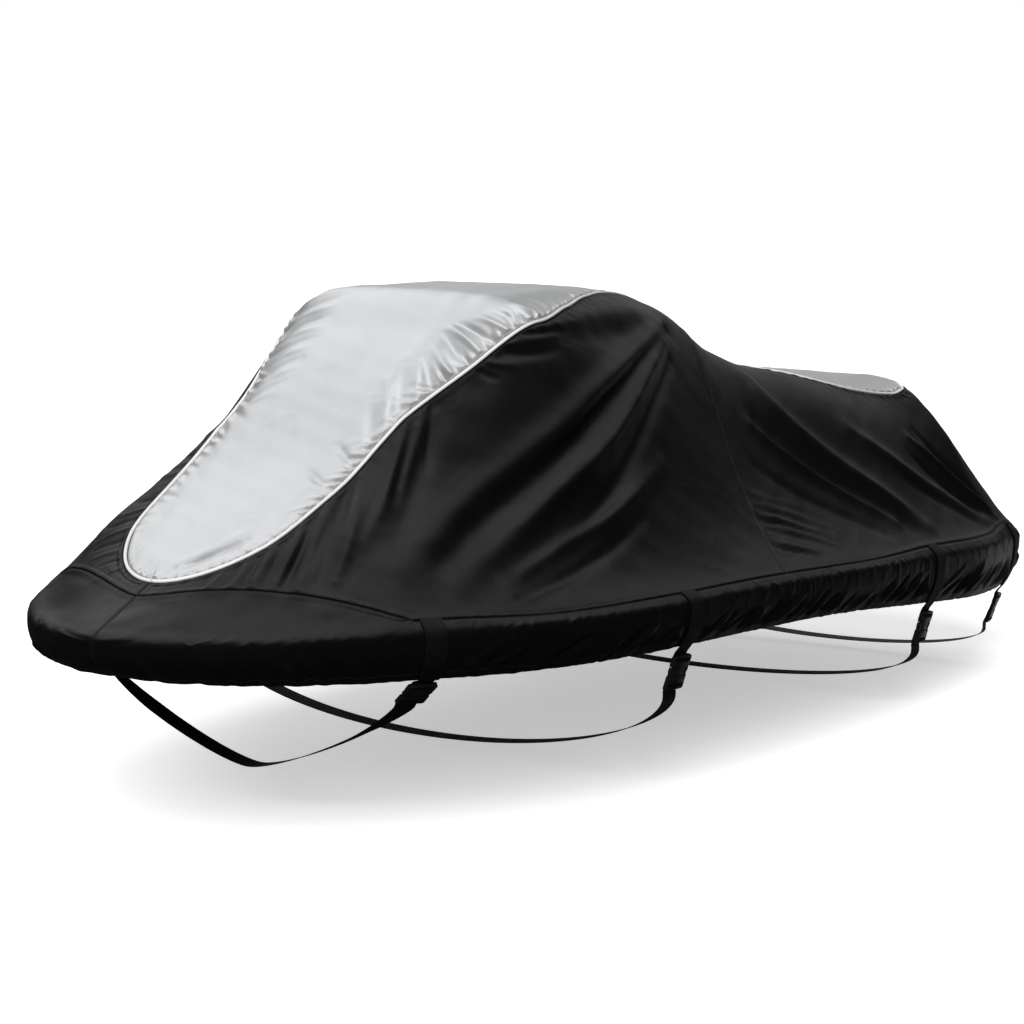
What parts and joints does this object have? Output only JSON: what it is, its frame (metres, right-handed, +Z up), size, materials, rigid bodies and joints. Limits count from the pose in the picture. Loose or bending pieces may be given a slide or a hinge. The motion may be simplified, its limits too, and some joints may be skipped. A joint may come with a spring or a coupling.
{
  "type": "personal watercraft cover",
  "caption": "Fitted two-tone cloth cover for a personal watercraft, with white piping, a drawn-in skirt band, and straps with side release buckles that pass under the craft.",
  "frame": {"origin": "on the middle line at the cloth's inner face, under the top of the hump, where the craft holds the cover up", "axes": "+X aft towards the stern, +Y to starboard, +Z up, the bow points to -X"},
  "size_m": [2.828, 1.234, 0.9498],
  "materials": {
    "silver_cloth": "silver coated polyester with a soft sheen",
    "black_cloth": "black coated polyester with a satin sheen",
    "white_piping": "white reflective cloth over a cord",
    "black_webbing": "woven polypropylene",
    "black_plastic": "moulded acetal, fine matt"
  },
  "bodies": {
    "root": {"silver_top_panel": "silver_cloth", "piping_port": "white_piping", "piping_starboard": "white_piping", "forward_panel_port": "black_cloth", "forward_panel_starboard": "black_cloth", "rear_panel_port": "black_cloth", "rear_panel_starboard": "black_cloth", "bow_apron_port": "black_cloth", "bow_apron_starboard": "black_cloth", "band_fore_port": "black_cloth", "band_fore_starboard": "black_cloth", "band_waist_port": "black_cloth", "band_waist_starboard": "black_cloth", "band_seat_port": "black_cloth", "band_seat_starboard": "black_cloth", "stern_panel": "black_cloth", "band_stern": "black_cloth", "webbing_fore_port": "black_webbing", "webbing_fore_starboard": "black_webbing", "webbing_waist_port": "black_webbing", "webbing_waist_starboard": "black_webbing", "webbing_seat_port": "black_webbing", "webbing_seat_starboard": "black_webbing", "webbing_tail_port": "black_webbing", "webbing_tail_starboard": "black_webbing", "webbing_under_fore": "black_webbing", "webbing_under_waist": "black_webbing", "webbing_under_seat": "black_webbing", "webbing_under_tail": "black_webbing", "buckle_socket_fore_port": "black_plastic", "buckle_socket_fore_starboard": "black_plastic", "buckle_socket_waist_port": "black_plastic", "buckle_socket_waist_starboard": "black_plastic", "buckle_socket_seat_port": "black_plastic", "buckle_socket_seat_starboard": "black_plastic", "buckle_socket_tail_port": "black_plastic", "buckle_socket_tail_starboard": "black_plastic", "buckle_prongs_fore_port": "black_plastic", "buckle_prongs_fore_starboard": "black_plastic", "buckle_prongs_waist_port": "black_plastic", "buckle_prongs_waist_starboard": "black_plastic", "buckle_prongs_seat_port": "black_plastic", "buckle_prongs_seat_starboard": "black_plastic", "buckle_prongs_tail_port": "black_plastic", "buckle_prongs_tail_starboard": "black_plastic"}
  },
  "joints": []
}
